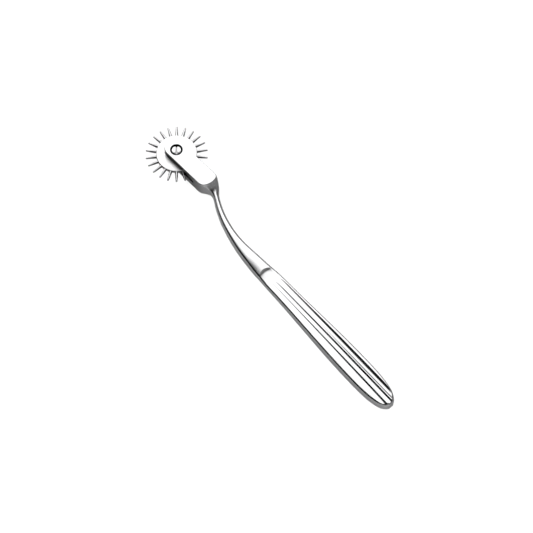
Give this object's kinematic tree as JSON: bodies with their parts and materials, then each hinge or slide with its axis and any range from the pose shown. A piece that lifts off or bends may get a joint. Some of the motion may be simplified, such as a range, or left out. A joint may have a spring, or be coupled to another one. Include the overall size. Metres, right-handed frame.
{
  "type": "pinwheel",
  "caption": "Hand pinwheel: a spiked disc spins on a slotted screw in the fork of a forged steel handle with a bent neck and a fluted grip.",
  "frame": {"origin": "centre of the whole object's bounding box in X and Y, on its lowest plane, which is the underside of the fork", "axes": "+X from the wheel to the tail along the grip's own axis, +Y to the side that the wheel is offset to, +Z along the wheel's axle towards the screw's head"},
  "size_m": [0.1764, 0.0296, 0.0088],
  "materials": {
    "satin_steel": "satin polished stainless steel, forged and ground",
    "polished_steel": "bright polished stainless steel",
    "turned_steel": "fine turned stainless steel with a thin circular grain"
  },
  "bodies": {
    "frame": {"handle": "satin_steel", "axle_screw": "polished_steel"},
    "wheel": {"wheel_disc": "turned_steel", "pin_01": "polished_steel", "pin_02": "polished_steel", "pin_03": "polished_steel", "pin_04": "polished_steel", "pin_05": "polished_steel", "pin_06": "polished_steel", "pin_07": "polished_steel", "pin_08": "polished_steel", "pin_09": "polished_steel", "pin_10": "polished_steel", "pin_11": "polished_steel", "pin_12": "polished_steel", "pin_13": "polished_steel", "pin_14": "polished_steel", "pin_15": "polished_steel", "pin_16": "polished_steel", "pin_17": "polished_steel", "pin_18": "polished_steel", "pin_19": "polished_steel", "pin_20": "polished_steel", "pin_21": "polished_steel", "pin_22": "polished_steel"}
  },
  "joints": [
    {"name": "wheel_spin", "type": "hinge", "parent": "frame", "child": "wheel", "pos_m": [-0.07356, 0, 0.0044], "axis": [0, 0, 1], "continuous": true}
  ]
}
